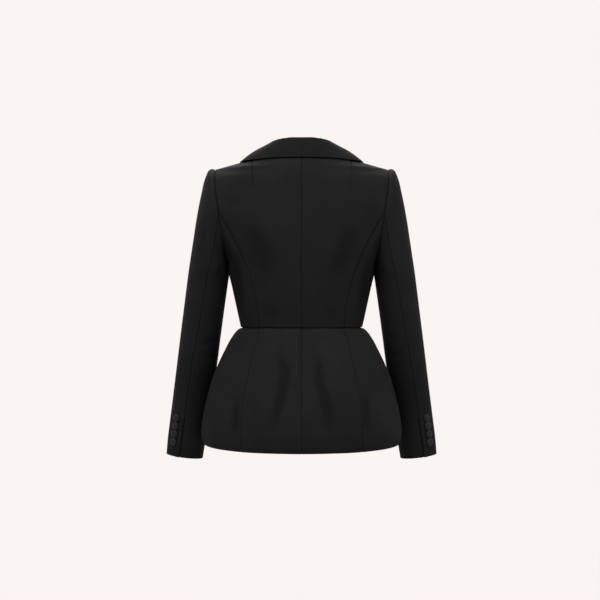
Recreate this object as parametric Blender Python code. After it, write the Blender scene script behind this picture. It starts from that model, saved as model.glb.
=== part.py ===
"""A tailored jacket with a peplum, hollow and filled out as if worn.

Sizes are in millimetres until a mesh is made. The front faces -Y, the wearer's left is +X and
+Z is up. The origin is the middle of the neck, level with the points where the shoulders start.
Each piece of cloth is a grid of points on the garment's form, given a wall on its inner side.
"""

import math

import bpy
import numpy as np

MM = 0.001

CLOTH = 2.0
SEAM = 0.2
SEAM_BEVEL = 0.7
SLEEVE_SEAM = 0.3
SLEEVE_BEVEL = 1.3
NECK_HALF = 75.0
SHOULDER_HALF = 185.0
SHOULDER_DROP = 30.5
ARM_MIDDLE = -129.25
ARM_HALF = 98.75
ARM_BACK = 72.0
ARM_FRONT = 66.0
PRINCESS_TOP = -127.0
WAIST = -369.0
HEM = -621.5
HEM_RISE = 4.0
OVERLAP = 18.0
OVERLAP_LIFT = 2.7
ROUNDNESS = 2.1
FORWARD = np.array([0.0, -1.0, 0.0])

CUFF_BUTTON = dict(radius=8.6, height=4.0, first=-565.0, pitch=17.8, count=4, angle=54.5)
FRONT_BUTTON = dict(radius=11.0, height=5.2, first=-268.0, pitch=42.0, count=3)


class Table:
    """Rows of named columns, read at any value of the first along a curve that never overshoots."""

    def __init__(self, names, *rows):
        self.names = names.split()
        self.rows = np.array(sorted(rows), float)

    def at(self, name, value):
        xs = self.rows[:, 0]
        ys = self.rows[:, self.names.index(name)]
        steps = np.diff(xs)
        slopes = np.diff(ys) / steps
        product = slopes[:-1] * slopes[1:]
        total = np.where(product > 0, slopes[:-1] + slopes[1:], 1.0)
        inner = np.where(product > 0, 2 * product / total, 0.0)
        slopes = np.concatenate([slopes[:1], inner, slopes[-1:]])
        value = np.clip(value, xs[0], xs[-1])
        i = np.clip(np.searchsorted(xs, value) - 1, 0, len(steps) - 1)
        t = (value - xs[i]) / steps[i]
        rise = t * t * (3 - 2 * t)
        bend = slopes[i] * t * (1 - t) ** 2 - slopes[i + 1] * t * t * (1 - t)
        return ys[i] + (ys[i + 1] - ys[i]) * rise + steps[i] * bend


# Levels of the bodice: the x of its outer edge behind and before, its depths at the centre, and
# the share of those depths that is left at four fifths of the way out.
BODICE = Table(
    "level back_edge front_edge back front back_flank front_flank",
    (0.0, 75.0, 75.0, 62.0, -25.0, 0.612, 0.612),
    (-15.0, 129.1, 129.1, 76.0, -42.0, 0.582, 0.582),
    (-30.5, 185.0, 185.0, 87.0, -58.0, 0.555, 0.555),
    (-50.0, 184.4, 180.0, 94.0, -78.0, 0.704, 0.731),
    (-70.0, 182.4, 174.0, 98.5, -92.0, 0.760, 0.753),
    (-106.0, 177.5, 167.0, 103.5, -111.0, 0.805, 0.745),
    (-127.0, 174.0, 164.5, 105.0, -119.0, 0.811, 0.731),
    (-152.0, 170.0, 162.5, 105.5, -127.0, 0.808, 0.718),
    (-172.0, 166.5, 161.5, 105.5, -132.0, 0.797, 0.711),
    (-199.0, 163.5, 160.5, 105.0, -136.0, 0.766, 0.700),
    (-217.0, 161.0, 160.0, 104.0, -137.0, 0.734, 0.690),
    (-228.0, 159.0, 159.0, 103.0, -136.0, 0.710, 0.683),
    (-246.0, 156.7, 156.7, 101.3, -134.3, 0.682, 0.671),
    (-258.0, 154.7, 154.7, 100.0, -132.0, 0.668, 0.662),
    (-275.0, 151.0, 151.0, 98.0, -127.8, 0.656, 0.654),
    (-310.0, 143.2, 143.2, 94.0, -118.0, 0.643, 0.642),
    (-361.0, 132.0, 132.0, 88.5, -107.5, 0.626, 0.626),
    (-369.0, 129.8, 129.8, 88.0, -107.0, 0.626, 0.626),
)
# The princess seams run from the armhole to the waist.
PRINCESS = Table(
    "level back front",
    (-127.0, 174.0, 164.5),
    (-149.4, 159.7, 148.0),
    (-168.5, 148.6, 132.0),
    (-183.3, 141.2, 121.0),
    (-210.5, 127.7, 106.0),
    (-234.6, 118.3, 97.0),
    (-264.4, 107.0, 90.0),
    (-294.8, 99.7, 84.0),
    (-334.6, 91.4, 79.0),
    (-359.0, 90.0, 78.0),
    (-369.0, 90.0, 78.0),
)
# The x of the edge of the left front: the roll line of the lapel, then the straight front edge.
FRONT_EDGE = Table(
    "level x",
    (0.0, 75.0),
    (-60.0, 53.0),
    (-130.0, 25.0),
    (-193.0, 0.0),
    (-240.0, -18.0),
    (-640.0, -18.0),
)
# Levels of the peplum: its depths are measured from a middle that lies further back lower down,
# and back_seam and front_seam are the x of the seams of its side panels.
PEPLUM = Table(
    "level half_width middle back front back_seam front_seam",
    (-369.4, 130.1, 0.0, 88.4, 107.4, 89.5, 79.0),
    (-374.5, 138.0, 0.5, 94.0, 112.0, 91.0, 83.0),
    (-387.0, 148.0, 1.5, 105.0, 119.0, 94.0, 90.0),
    (-400.0, 156.0, 2.5, 112.5, 124.0, 97.5, 96.0),
    (-413.0, 162.5, 3.0, 119.0, 128.0, 100.5, 101.0),
    (-426.0, 169.0, 4.0, 124.5, 131.0, 103.0, 105.0),
    (-452.0, 181.0, 5.0, 134.0, 137.0, 108.5, 112.0),
    (-480.0, 192.0, 6.0, 143.0, 142.0, 114.0, 118.0),
    (-521.0, 203.0, 7.0, 153.0, 147.0, 121.5, 126.0),
    (-559.0, 211.0, 8.0, 161.0, 150.0, 124.0, 132.0),
    (-594.0, 214.6, 8.0, 166.0, 151.0, 124.5, 136.0),
    (-609.0, 213.0, 8.0, 166.0, 150.0, 124.5, 136.0),
    (-621.5, 208.0, 8.0, 164.0, 147.0, 124.0, 135.0),
)
# Soft folds of the peplum: x at its top and its hem, how wide and how deep, and the level where
# each is deepest. A positive depth is a trough and a negative one a ridge.
FOLDS_BACK = (
    dict(top=46.0, hem=68.0, width=24.0, depth=3.6, level=-520.0),
    dict(top=-34.0, hem=-62.0, width=22.0, depth=3.2, level=-545.0),
    dict(top=4.0, hem=2.0, width=20.0, depth=-2.6, level=-560.0),
    dict(top=112.0, hem=150.0, width=20.0, depth=2.4, level=-585.0),
    dict(top=-118.0, hem=-146.0, width=22.0, depth=2.0, level=-575.0),
)
FOLDS_FRONT = (
    dict(top=52.0, hem=84.0, width=24.0, depth=3.2, level=-535.0),
    dict(top=-46.0, hem=-76.0, width=26.0, depth=3.4, level=-520.0),
    dict(top=118.0, hem=158.0, width=20.0, depth=2.0, level=-580.0),
    dict(top=-122.0, hem=-160.0, width=20.0, depth=2.2, level=-570.0),
)
# Rings of a sleeve, from the armhole to the cuff: the outermost and innermost point of each,
# how far back its middle lies, and its depths behind and before that.
SLEEVE = Table(
    "ring outer_x outer_z inner_x inner_z middle back front",
    (0, 185.5, -30.5, 160.4, -228.0, 0.0, 72.0, 66.0),
    (1, 192.6, -28.6, 160.7, -229.5, 0.0, 73.0, 67.0),
    (2, 199.6, -32.3, 160.3, -231.5, 0.0, 73.2, 67.4),
    (3, 204.3, -42.0, 159.9, -234.0, 0.0, 73.0, 67.6),
    (4, 209.1, -55.0, 159.4, -237.0, 0.0, 72.4, 67.6),
    (5, 214.3, -78.0, 159.0, -241.0, -0.5, 71.2, 67.4),
    (6, 219.9, -104.0, 158.3, -245.0, -1.5, 69.6, 66.8),
    (7, 226.8, -142.0, 157.8, -249.0, -2.5, 67.8, 65.8),
    (8, 232.8, -181.0, 157.5, -253.0, -3.5, 66.0, 64.6),
    (9, 238.4, -217.0, 157.5, -258.0, -5.0, 64.4, 63.4),
    (10, 243.8, -252.0, 158.2, -266.0, -7.0, 63.0, 62.4),
    (11, 251.6, -310.0, 165.6, -321.0, -12.0, 60.0, 60.0),
    (12, 260.7, -375.0, 174.9, -386.0, -22.0, 57.0, 57.0),
    (13, 270.0, -440.4, 184.0, -451.0, -36.0, 54.0, 54.0),
    (14, 279.3, -506.4, 195.0, -517.0, -50.0, 50.0, 50.0),
    (15, 288.6, -573.0, 205.6, -583.5, -60.0, 46.5, 46.5),
    (16, 294.1, -613.0, 212.0, -623.5, -66.0, 44.5, 44.5),
    (17, 297.4, -647.7, 217.8, -658.0, -70.0, 43.0, 43.0),
)
# The sleeve's back seam, as an angle from the outermost point, and the front seam.
SLEEVE_SEAMS = Table(
    "ring back front",
    (0, 95.0, -118.0),
    (1.5, 97.8, -118.6),
    (3.2, 100.6, -119.3),
    (5.7, 101.6, -120.3),
    (7.4, 99.8, -121.0),
    (10, 93.6, -122.0),
    (12, 86.8, -122.0),
    (13, 82.4, -121.0),
    (14, 80.3, -120.0),
    (15, 78.8, -118.0),
    (17, 77.6, -116.0),
)
# The collar from the centre back to its front end: the fold above, and the outer edge below,
# given by its x and z; its y lies on the jacket.
COLLAR = Table(
    "turn fold_x fold_y fold_z seam_x seam_y seam_z edge_x edge_z lift",
    (0.0, 0.0, 76.0, 32.0, 0.0, 60.0, 1.0, 0.0, -13.0, 4.6),
    (0.1, 18.0, 74.5, 32.0, 17.0, 58.5, 1.0, 24.0, -13.2, 4.6),
    (0.2, 34.0, 69.0, 31.4, 33.0, 53.5, 1.0, 49.0, -13.5, 4.6),
    (0.3, 48.0, 59.0, 29.8, 47.0, 46.0, 1.0, 74.0, -14.5, 4.6),
    (0.4, 59.0, 46.0, 27.6, 58.0, 35.0, 1.0, 99.0, -16.3, 4.6),
    (0.5, 66.0, 30.0, 25.2, 65.0, 22.0, 1.0, 121.0, -18.2, 5.2),
    (0.6, 70.0, 12.0, 22.0, 68.0, 6.0, 0.0, 132.0, -18.6, 5.8),
    (0.7, 71.5, -8.0, 15.0, 68.0, -8.0, -3.0, 133.0, -25.0, 4.8),
    (0.8, 70.0, -27.0, 3.0, 65.0, -22.0, -10.0, 130.0, -36.0, 4.4),
    (0.9, 65.5, -48.0, -14.0, 60.5, -36.0, -22.0, 124.5, -48.5, 4.0),
    (1.0, 59.5, -67.0, -34.0, 55.0, -49.0, -40.0, 118.0, -61.0, 3.9),
)
# The lapel from the gorge to the break: the x and z of its roll edge and of its outer edge.
LAPEL = Table(
    "turn roll_z edge_x edge_z",
    (0.0, -40.0, 127.0, -74.0),
    (0.2, -78.0, 121.0, -104.0),
    (0.4, -118.0, 104.0, -138.0),
    (0.6, -158.0, 78.0, -172.0),
    (0.8, -198.0, 44.0, -206.0),
    (1.0, -236.0, -9.0, -239.0),
)

# How high the lapel's outer face stands off the front, from its roll edge to its outer edge.
LAPEL_HEIGHTS = ((0.0, 2.7), (0.1, 5.0), (0.3, 4.6), (0.5, 4.0), (0.75, 3.7), (1.0, 3.4))


def arm_depth(level, depth):
    """How far the armhole's edge lies from the middle at a level, 0 at its top and its bottom."""
    share = (level - ARM_MIDDLE) / ARM_HALF
    return depth * np.sqrt(np.clip(1 - share * share, 0.0, 1.0))


def body_y(x, level, side):
    """The y of the bodice's outer face. side is back or front."""
    sign = 1.0 if side == "back" else -1.0
    on_shoulder = NECK_HALF - level * (SHOULDER_HALF - NECK_HALF) / SHOULDER_DROP
    edge = np.where(level > -SHOULDER_DROP, on_shoulder, BODICE.at(side + "_edge", level))
    arm = sign * arm_depth(level, ARM_BACK if side == "back" else ARM_FRONT)
    centre = BODICE.at(side, level)
    share = np.clip(np.abs(x) / edge, 0.0, 1.0)
    flank = centre * BODICE.at(side + "_flank", level)
    rounding = np.log((flank - arm) / (centre - arm)) / math.log(1 - 0.8**ROUNDNESS)
    return arm + (centre - arm) * (1 - share**ROUNDNESS) ** rounding


def shoulder_level(x):
    """The level of the neck and shoulder line at x."""
    slope = SHOULDER_DROP / (SHOULDER_HALF - NECK_HALF)
    return -np.clip(x - NECK_HALF, 0.0, None) * slope


def grid(rows, columns, place):
    """Points place(row share, column share), as an array of rows by columns by 3."""
    v, u = np.meshgrid(np.asarray(rows), np.asarray(columns), indexing="ij")
    x, y, z = np.broadcast_arrays(*place(v, u))
    return np.stack([x, y, z], axis=-1).astype(float)


def normals(points, inside):
    """Unit normals of a grid, pointing away from the points inside."""
    down = np.gradient(points, axis=0)
    across = np.gradient(points, axis=1)
    normal = np.cross(down, across)
    length = np.linalg.norm(normal, axis=-1, keepdims=True)
    normal = normal / np.maximum(length, 1e-9)
    away = (normal * (points - inside)).sum()
    return normal if away > 0 else -normal


def trimmed(points, gaps):
    """The grid with its four edges moved in: first row, last row, first column, last column."""
    points = points.copy()
    for gap, edge, beside in (
        (gaps[0], np.s_[0], np.s_[1]),
        (gaps[1], np.s_[-1], np.s_[-2]),
        (gaps[2], np.s_[:, 0], np.s_[:, 1]),
        (gaps[3], np.s_[:, -1], np.s_[:, -2]),
    ):
        step = points[beside] - points[edge]
        length = np.linalg.norm(step, axis=-1, keepdims=True)
        points[edge] = points[edge] + step * gap / np.maximum(length, 1e-9)
    return points


def mirrored(points):
    return points * np.array([-1.0, 1.0, 1.0])


def mesh_object(name, points, faces, material):
    mesh = bpy.data.meshes.new(name)
    mesh.from_pydata((np.asarray(points) * MM).tolist(), [], faces)
    mesh.shade_smooth()
    mesh.set_sharp_from_angle(angle=math.radians(40))
    mesh.materials.append(material)
    obj = bpy.data.objects.new(name, mesh)
    bpy.context.collection.objects.link(obj)
    return obj


def wall(name, outer, inside, material, gaps=(SEAM, SEAM, SEAM, SEAM), bevel=SEAM_BEVEL):
    """A closed wall of cloth: the grid outer, and the same grid one thickness further in."""
    outer = trimmed(outer, gaps)
    normal = normals(outer, inside)
    inner = outer - normal * CLOTH
    inner = trimmed(inner, [bevel if gap else 0.0 for gap in gaps])
    rows, columns = outer.shape[:2]
    near = np.arange(rows * columns).reshape(rows, columns)
    far = near + rows * columns
    faces = []
    for r in range(rows - 1):
        for c in range(columns - 1):
            a, b, d, e = near[r, c], near[r, c + 1], near[r + 1, c + 1], near[r + 1, c]
            faces.append((a, b, d, e))
            a, b, d, e = far[r, c], far[r, c + 1], far[r + 1, c + 1], far[r + 1, c]
            faces.append((e, d, b, a))
    ring = [(0, c) for c in range(columns)]
    ring += [(r, columns - 1) for r in range(1, rows)]
    ring += [(rows - 1, c) for c in range(columns - 2, -1, -1)]
    ring += [(r, 0) for r in range(rows - 2, 0, -1)]
    for one, two in zip(ring, ring[1:] + ring[:1]):
        faces.append((near[two], near[one], far[one], far[two]))
    first = np.cross(outer[0, 1] - outer[0, 0], outer[1, 1] - outer[0, 0])
    if first @ normal[0, 0] < 0:
        faces = [face[::-1] for face in faces]
    faces = [tuple(int(i) for i in face) for face in faces]
    points = np.concatenate([outer.reshape(-1, 3), inner.reshape(-1, 3)])
    return mesh_object(name, points, faces, material)


def material(name, colour, roughness, metallic=0.0):
    made = bpy.data.materials.new(name)
    made.use_nodes = True
    shader = made.node_tree.nodes["Principled BSDF"]
    shader.inputs["Base Color"].default_value = (*colour, 1.0)
    shader.inputs["Roughness"].default_value = roughness
    shader.inputs["Metallic"].default_value = metallic
    made.diffuse_color = (*colour, 1.0)
    return made


# Levels of the outer edge of a back or front: down the armhole, then down the princess seam.
ARM_LEVELS = ARM_MIDDLE + ARM_HALF * np.cos(np.radians([0, 14, 28, 44, 60, 75]))
SEAM_LEVELS = np.linspace(PRINCESS_TOP, WAIST, 12)
EDGE_LEVELS = np.concatenate([ARM_LEVELS, SEAM_LEVELS])
EDGE_SHARES = (EDGE_LEVELS + SHOULDER_DROP) / (WAIST + SHOULDER_DROP)
SHOULDER_COLUMNS = np.linspace(0.0, 1.0, 7)
NECK_COLUMNS = np.array([0.0, 0.32, 0.6, 0.84])


def outer_edge(level, side):
    """The x of the outer edge of a back or front: the armhole, and below it the princess seam."""
    arm = BODICE.at(side + "_edge", level)
    return np.where(level > PRINCESS_TOP, arm, PRINCESS.at(side, level))


def back_panel():
    neck = NECK_COLUMNS * NECK_HALF / SHOULDER_HALF
    shoulder = (NECK_HALF + SHOULDER_COLUMNS * (SHOULDER_HALF - NECK_HALF)) / SHOULDER_HALF

    def place(v, u):
        top = shoulder_level(u * SHOULDER_HALF)
        level = top + (WAIST - top) * v
        edge = np.where(level > -SHOULDER_DROP, SHOULDER_HALF, outer_edge(level, "back"))
        x = edge * u
        return x, body_y(x, level, "back"), level

    return grid(EDGE_SHARES, np.concatenate([neck, shoulder]), place)


def front_panel(lift):
    """The left front; lift is how far its overlap lies outside the other front's."""

    def place(v, u):
        top = shoulder_level(NECK_HALF + u * (SHOULDER_HALF - NECK_HALF))
        level = top + (WAIST - top) * v
        edge = np.where(level > -SHOULDER_DROP, SHOULDER_HALF, outer_edge(level, "front"))
        start = FRONT_EDGE.at("x", WAIST * v)
        x = start + (edge - start) * u
        return x, body_y(x, level, "front") - lapped(x, level, lift), level

    return grid(EDGE_SHARES, SHOULDER_COLUMNS, place)


def lapped(x, level, lift):
    """How far the upper of the two overlapping fronts stands off the form."""
    across = np.clip((62.0 - x) / 40.0, 0.0, 1.0)
    down = np.clip((-150.0 - level) / 45.0, 0.0, 1.0)
    return lift * across * across * (3 - 2 * across) * down * down * (3 - 2 * down)


def side_panel():
    """From the back princess seam round the side to the front one, cut out by the armhole."""
    columns = np.linspace(0.0, 1.0, 15)
    rows = (SEAM_LEVELS - PRINCESS_TOP) / (WAIST - PRINCESS_TOP)
    points = np.zeros((len(rows), len(columns), 3))
    start = math.acos((PRINCESS_TOP - ARM_MIDDLE) / ARM_HALF)
    for c, u in enumerate(columns):
        side = "back" if u < 0.5 else "front"
        turn = start + (math.pi - start) * (1 - abs(1 - 2 * u))
        top = ARM_MIDDLE + ARM_HALF * math.cos(turn)
        level = top + (WAIST - top) * rows
        edge = BODICE.at(side + "_edge", level)
        seam = np.clip(PRINCESS.at(side, level) / edge, 0.0, 1.0)
        angle = np.arccos(seam ** (ROUNDNESS / 2))
        settle = 1.0 if u in (0.0, 1.0) else 1 - (1 - rows) ** 4
        share = np.cos(angle * abs(1 - 2 * u) * settle) ** (2 / ROUNDNESS)
        points[:, c] = np.stack([edge * share, body_y(edge * share, level, side), level], -1)
        if u == 0.5:
            points[:, c, 1] = 0.0
    return points


def peplum_form(x, level, side, away):
    """The y of the peplum at x, with its soft folds. away is +1 on the left and -1 on the right."""
    sign = 1.0 if side == "back" else -1.0
    share = np.clip(x / PEPLUM.at("half_width", level), 0.0, 1.0)
    y = PEPLUM.at(side, level) * (1 - share**ROUNDNESS) ** (1 / ROUNDNESS)
    down = np.clip((WAIST - level) / (WAIST - HEM), 0.0, 1.0)
    for fold in FOLDS_BACK if side == "back" else FOLDS_FRONT:
        middle = fold["top"] + (fold["hem"] - fold["top"]) * down
        near = np.exp(-(((x * away - middle) / fold["width"]) ** 2))
        far = np.exp(-(((level - fold["level"]) / 85.0) ** 2))
        y = y - fold["depth"] * near * far * np.clip(down * 5, 0.0, 1.0) * (1 - share**6)
    return PEPLUM.at("middle", level) + sign * y


def raised(x, level):
    """The level of a point of the peplum: its hem lies a little higher towards the sides."""
    down = np.clip((WAIST - level) / (WAIST - HEM), 0.0, 1.0)
    return level + HEM_RISE * (np.abs(x) / PEPLUM.at("half_width", level)) ** 4 * down**6


PEPLUM_LEVELS = np.array(
    [-369.4, -374.5, -387, -402, -422, -446, -474, -504, -534, -564, -590, -609, -621.5]
)


def peplum_back(away):
    def place(level, u):
        x = PEPLUM.at("back_seam", level) * u
        return x, peplum_form(x, level, "back", away), raised(x, level)

    return grid(PEPLUM_LEVELS, np.linspace(0, 1, 10), place)


def peplum_front(away, lift):
    def place(level, u):
        x = -OVERLAP + (PEPLUM.at("front_seam", level) + OVERLAP) * u
        y = peplum_form(np.abs(x), level, "front", away) - lapped(x, level, lift)
        return x, y, raised(x, level)

    return grid(PEPLUM_LEVELS, np.linspace(0, 1, 11), place)


def peplum_side(away):
    points = []
    for level in PEPLUM_LEVELS:
        width = PEPLUM.at("half_width", level)
        back = math.acos((PEPLUM.at("back_seam", level) / width) ** (ROUNDNESS / 2))
        front = math.acos((PEPLUM.at("front_seam", level) / width) ** (ROUNDNESS / 2))
        row = []
        for angle in np.linspace(back, -front, 13):
            x = width * math.cos(angle) ** (2 / ROUNDNESS)
            side = "back" if angle > 0 else "front"
            row.append((x, float(peplum_form(x, level, side, away)), float(raised(x, level))))
        points.append(row)
    return np.array(points)


def sleeve_ring(ring, degrees):
    """A point of the left sleeve: the ring's number, and the angle from its outermost point."""
    angle = np.radians(degrees)
    out = np.cos(angle)
    outer_x, outer_z = SLEEVE.at("outer_x", ring), SLEEVE.at("outer_z", ring)
    inner_x, inner_z = SLEEVE.at("inner_x", ring), SLEEVE.at("inner_z", ring)
    x = (outer_x + inner_x) / 2 + (outer_x - inner_x) / 2 * out
    z = (outer_z + inner_z) / 2 + (outer_z - inner_z) / 2 * out
    depth = np.where(angle > 0, SLEEVE.at("back", ring), SLEEVE.at("front", ring))
    y = SLEEVE.at("middle", ring) + depth * np.sin(angle)
    level = ARM_MIDDLE + ARM_HALF * out
    edge = np.where(angle > 0, BODICE.at("back_edge", level), BODICE.at("front_edge", level))
    straight = (185.0 + 159.0) / 2 + (185.0 - 159.0) / 2 * out
    join = np.clip(1 - ring / 5.0, 0.0, 1.0) ** 2
    return x + (edge - straight) * join, y, z


SLEEVE_RINGS = np.array(
    [0, 1, 2, 3, 4, 5, 6, 7, 8.5, 10, 10.7, 11.4, 12.2, 13, 14, 15, 16, 17]
)


def sleeve_part(seam_from, seam_to, columns):
    def place(ring, u):
        first = SLEEVE_SEAMS.at(seam_from[0], ring) + seam_from[1]
        last = SLEEVE_SEAMS.at(seam_to[0], ring) + seam_to[1]
        degrees = first + (last - first) * u
        degrees = np.where(degrees > 180.0, degrees - 360.0, degrees)
        return sleeve_ring(ring, degrees)

    return grid(SLEEVE_RINGS, np.linspace(0, 1, columns), place)


def on_body(x, level, side, lift):
    """A point lift above the bodice's outer face, moved along the face's normal."""
    step = 1.0
    y = body_y(x, level, side)
    along = (body_y(x + step, level, side) - y) / step
    below = (y - body_y(x, level - step, side)) / step
    sign = 1.0 if side == "back" else -1.0
    normal = np.stack([-along * sign, np.full_like(y, sign), -below * sign], -1)
    normal = normal / np.linalg.norm(normal, axis=-1, keepdims=True)
    return np.stack([x, y, level], -1) + normal * np.asarray(lift)[..., None]


def clear_of_front(points, over, lift):
    """The points, moved forward where they would lie nearer than lift to the front's face."""
    x, y, z = points[..., 0], points[..., 1], points[..., 2]
    face = body_y(x, np.minimum(z, shoulder_level(x)), "front") - lift
    moved = points.copy()
    moved[..., 1] = np.where(over[..., 0] > 0.5, np.minimum(y, face), y)
    return moved


def collar_half():
    """The collar from the centre back to its left end: columns run seam, fold, outer edge."""
    turns = np.linspace(0.0, 1.0, 15)
    fold = np.stack([COLLAR.at("fold_" + axis, turns) for axis in "xyz"], -1)
    seam = np.stack([COLLAR.at("seam_" + axis, turns) for axis in "xyz"], -1)
    lift = COLLAR.at("lift", turns)
    edge_x, edge_z = COLLAR.at("edge_x", turns), COLLAR.at("edge_z", turns)
    behind = on_body(edge_x, edge_z, "back", lift)
    before = on_body(edge_x, edge_z, "front", lift)
    over = np.clip((turns - 0.52) / 0.12, 0.0, 1.0)[:, None]
    lying = 1.0 - np.clip((turns - 0.62) / 0.34, 0.0, 1.0)[:, None]
    edge = behind * (1 - over) + before * over
    columns = []
    for share in (0.0, 0.45, 0.82):
        columns.append(seam + (fold - seam) * share)
    columns.append(fold)
    out = (edge - fold) / np.linalg.norm(edge - fold, axis=-1, keepdims=True)
    up = np.array([0.0, 0.0, 1.0])
    columns.append(fold + out * 3.4 + up * 0.2)
    for share in (0.28, 0.5, 0.75, 1.0):
        bow = 4 * share * (1 - share)
        swell = (3.2 + 4.3 * over) * bow * lying
        columns.append(fold + (edge - fold) * share + (up + over * FORWARD) * swell)
    columns = np.stack(columns, axis=1)
    columns[:, 5:] = clear_of_front(columns[:, 5:], over[:, None], lift[:, None])
    return columns


def lapel_panel(side_sign):
    """The left lapel, or the right one's mirror image, which runs on to the break."""
    turns = np.linspace(0.0, 1.0 if side_sign < 0 else 0.9, 12)
    roll_z = LAPEL.at("roll_z", turns)
    roll_x = FRONT_EDGE.at("x", roll_z)
    if side_sign > 0:
        roll_x = np.sqrt(roll_x**2 + 16.0) + np.clip((-180.0 - roll_z) / 10.0, 0.0, 1.0) * 5.0
    edge_x, edge_z = LAPEL.at("edge_x", turns), LAPEL.at("edge_z", turns)
    columns = []
    for share, height in LAPEL_HEIGHTS:
        x = roll_x + (edge_x - roll_x) * share
        z = roll_z + (edge_z - roll_z) * share
        stand = lapped(x, z, OVERLAP_LIFT if side_sign < 0 else 0.0)
        columns.append(on_body(x, z, "front", height + stand))
    return np.stack(columns, axis=1)


def button(name, centre, out, radius, height, finish):
    """A domed covered button whose back rests at centre and whose face looks along out."""
    out = np.asarray(out, float) / np.linalg.norm(out)
    side = np.cross(out, (0.0, 0.0, 1.0))
    side /= np.linalg.norm(side)
    up = np.cross(side, out)
    sides = 20
    profile = ((0.80, 0.0), (1.0, 0.30), (0.97, 0.62), (0.72, 0.88))
    points = []
    for share, rise in profile:
        for i in range(sides):
            turn = 2 * math.pi * i / sides
            spoke = (side * math.cos(turn) + up * math.sin(turn)) * radius * share
            points.append(centre + spoke + out * height * rise)
    points.append(centre + out * height)
    top = len(points) - 1
    faces = [tuple(range(sides - 1, -1, -1))]
    for ring in range(len(profile) - 1):
        for i in range(sides):
            j = (i + 1) % sides
            low, high = ring * sides, (ring + 1) * sides
            faces.append((low + i, low + j, high + j, high + i))
    last = (len(profile) - 1) * sides
    faces += [(last + i, last + (i + 1) % sides, top) for i in range(sides)]
    volume = np.cross(points[0] - centre, points[1] - centre) @ out
    if volume < 0:
        faces = [face[::-1] for face in faces]
    return mesh_object(name, points, faces, finish)


def make_bodice(cloth):
    for name, sign in (("left", 1), ("right", -1)):
        turn = (lambda grid_points: grid_points) if sign > 0 else mirrored
        axis = np.array([0.0, 0.0, -200.0])
        wall("back_" + name, turn(back_panel()), axis, cloth, (SEAM, SEAM, SEAM, SEAM))
        middle = np.array([60.0 * sign, 0.0, -250.0])
        wall("side_" + name, turn(side_panel()), middle, cloth, (SEAM, SEAM, SEAM, SEAM))
        lift = 0.0 if sign > 0 else OVERLAP_LIFT
        wall("front_" + name, turn(front_panel(lift)), axis, cloth, (SEAM, SEAM, 0.0, SEAM))


def make_peplum(cloth):
    axis = np.array([0.0, 0.0, -700.0])
    for name, sign in (("left", 1), ("right", -1)):
        turn = (lambda grid_points: grid_points) if sign > 0 else mirrored
        lift = 0.0 if sign > 0 else OVERLAP_LIFT
        gaps = (0.0, 0.0, SEAM, SEAM)
        wall("peplum_back_" + name, turn(peplum_back(sign)), axis, cloth, gaps)
        wall("peplum_side_" + name, turn(peplum_side(sign)), axis, cloth, gaps)
        front = turn(peplum_front(sign, lift))
        wall("peplum_front_" + name, front, axis, cloth, (0.0, 0.0, 0.0, SEAM))


def make_sleeves(cloth):
    for name, sign in (("left", 1), ("right", -1)):
        turn = (lambda grid_points: grid_points) if sign > 0 else mirrored
        outer_x = (SLEEVE.at("outer_x", SLEEVE_RINGS) + SLEEVE.at("inner_x", SLEEVE_RINGS)) / 2
        outer_z = (SLEEVE.at("outer_z", SLEEVE_RINGS) + SLEEVE.at("inner_z", SLEEVE_RINGS)) / 2
        core = np.stack([outer_x * sign, SLEEVE.at("middle", SLEEVE_RINGS), outer_z], -1)
        core = core[:, None, :]
        gaps = (0.0, 0.0, SLEEVE_SEAM, SLEEVE_SEAM)
        upper = turn(sleeve_part(("front", 0.0), ("back", 0.0), 15))
        wall("sleeve_upper_" + name, upper, core, cloth, gaps, SLEEVE_BEVEL)
        under = turn(sleeve_part(("back", 0.0), ("front", 360.0), 12))
        wall("sleeve_under_" + name, under, core, cloth, gaps, SLEEVE_BEVEL)


def make_collar(cloth):
    half = collar_half()
    whole = np.concatenate([mirrored(half[::-1]), half[1:]], axis=0)
    outward = np.array([0.0, 0.0, 0.0])
    wall("collar", whole, outward, cloth, (0.0, 0.0, 0.0, 0.0))
    for name, sign in (("left", 1), ("right", -1)):
        panel = lapel_panel(sign)
        panel = panel if sign > 0 else mirrored(panel)
        wall("lapel_" + name, panel, np.array([0.0, 0.0, -150.0]), cloth, (0, 0, 0, 0))


def make_buttons(finish):
    size = CUFF_BUTTON
    rings = np.linspace(13.0, 17.0, 400)
    for name, sign in (("left", 1), ("right", -1)):
        for i in range(size["count"]):
            level = size["first"] - size["pitch"] * i
            x, y, z = sleeve_ring(rings, size["angle"])
            k = int(np.argmin(np.abs(z - level)))
            here = np.array([x[k], y[k], z[k]])
            down = np.array([x[k + 1], y[k + 1], z[k + 1]]) - here
            round_x, round_y, round_z = sleeve_ring(rings[k], size["angle"] + 1.0)
            out = np.cross(np.array([round_x, round_y, round_z]) - here, down)
            out = out / np.linalg.norm(out)
            out = out if out[0] > 0 else -out
            centre = here + out * 0.5
            flip = np.array([sign, 1.0, 1.0])
            label = f"cuff_button_{name}_{i + 1}"
            button(label, centre * flip, out * flip, size["radius"], size["height"], finish)
    size = FRONT_BUTTON
    for i in range(size["count"]):
        level = size["first"] - size["pitch"] * i
        seat = on_body(np.array(0.0), np.array(level), "front", OVERLAP_LIFT + 0.65)
        out = seat - on_body(np.array(0.0), np.array(level), "front", 0.0)
        label = f"front_button_{i + 1}"
        button(label, seat, out, size["radius"], size["height"], finish)


def main():
    for obj in list(bpy.data.objects):
        bpy.data.objects.remove(obj)
    cloth = material("black_wool", (0.012, 0.012, 0.013), 0.85)
    satin = material("covered_button", (0.014, 0.014, 0.015), 0.5)
    make_bodice(cloth)
    make_peplum(cloth)
    make_sleeves(cloth)
    make_collar(cloth)
    make_buttons(satin)


main()
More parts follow.
